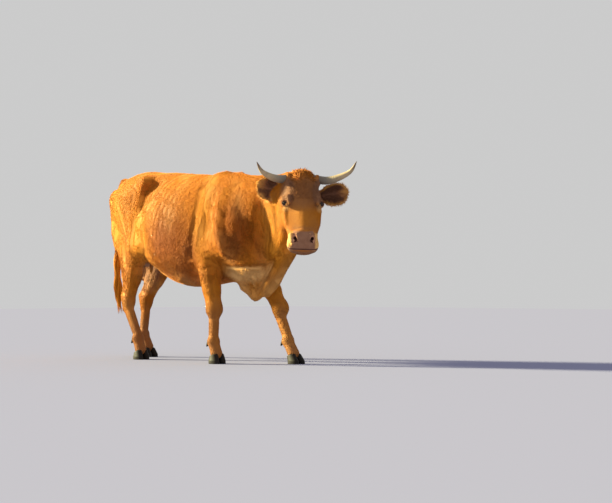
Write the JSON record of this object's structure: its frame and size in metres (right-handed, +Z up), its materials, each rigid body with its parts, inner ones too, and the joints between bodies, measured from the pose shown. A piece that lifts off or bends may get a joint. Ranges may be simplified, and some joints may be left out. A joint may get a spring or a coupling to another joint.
{
  "type": "cow",
  "caption": "Life-size horned beef cow with a short wheat-red coat, in mid step with her head turned to her right; a still, unjointed model.",
  "frame": {"origin": "on the ground, under the middle of the model's bounding box", "axes": "+X from tail to head, +Y to the cow's left, +Z up"},
  "size_m": [2.341, 0.6778, 1.4359],
  "materials": {
    "coat": "short flat hair, wheat-red, paler under the belly and round the muzzle",
    "switch_hair": "long golden-red hair",
    "bare_skin": "pale pink skin under thin hair",
    "eye": "wet, nearly black brown",
    "horn": "grey-cream horn with darker tips",
    "claw": "dull dark grey-brown horn"
  },
  "bodies": {
    "root": {"head": "coat", "neck": "coat", "trunk": "coat", "foreleg_right": "coat", "foreleg_left": "coat", "hindleg_right": "coat", "hindleg_left": "coat", "ear_right": "coat", "ear_left": "coat", "tail": "coat", "tail_switch": "switch_hair", "udder": "bare_skin", "eye_right": "eye", "horn_right": "horn", "eye_left": "eye", "horn_left": "horn", "foreclaw_right_outer": "claw", "foreclaw_right_inner": "claw", "foreclaw_left_outer": "claw", "foreclaw_left_inner": "claw", "hindclaw_right_outer": "claw", "hindclaw_right_inner": "claw", "hindclaw_left_outer": "claw", "hindclaw_left_inner": "claw", "foredewclaw_right_outer": "claw", "foredewclaw_right_inner": "claw", "foredewclaw_left_outer": "claw", "foredewclaw_left_inner": "claw", "hinddewclaw_right_outer": "claw", "hinddewclaw_right_inner": "claw", "hinddewclaw_left_outer": "claw", "hinddewclaw_left_inner": "claw"}
  },
  "joints": []
}
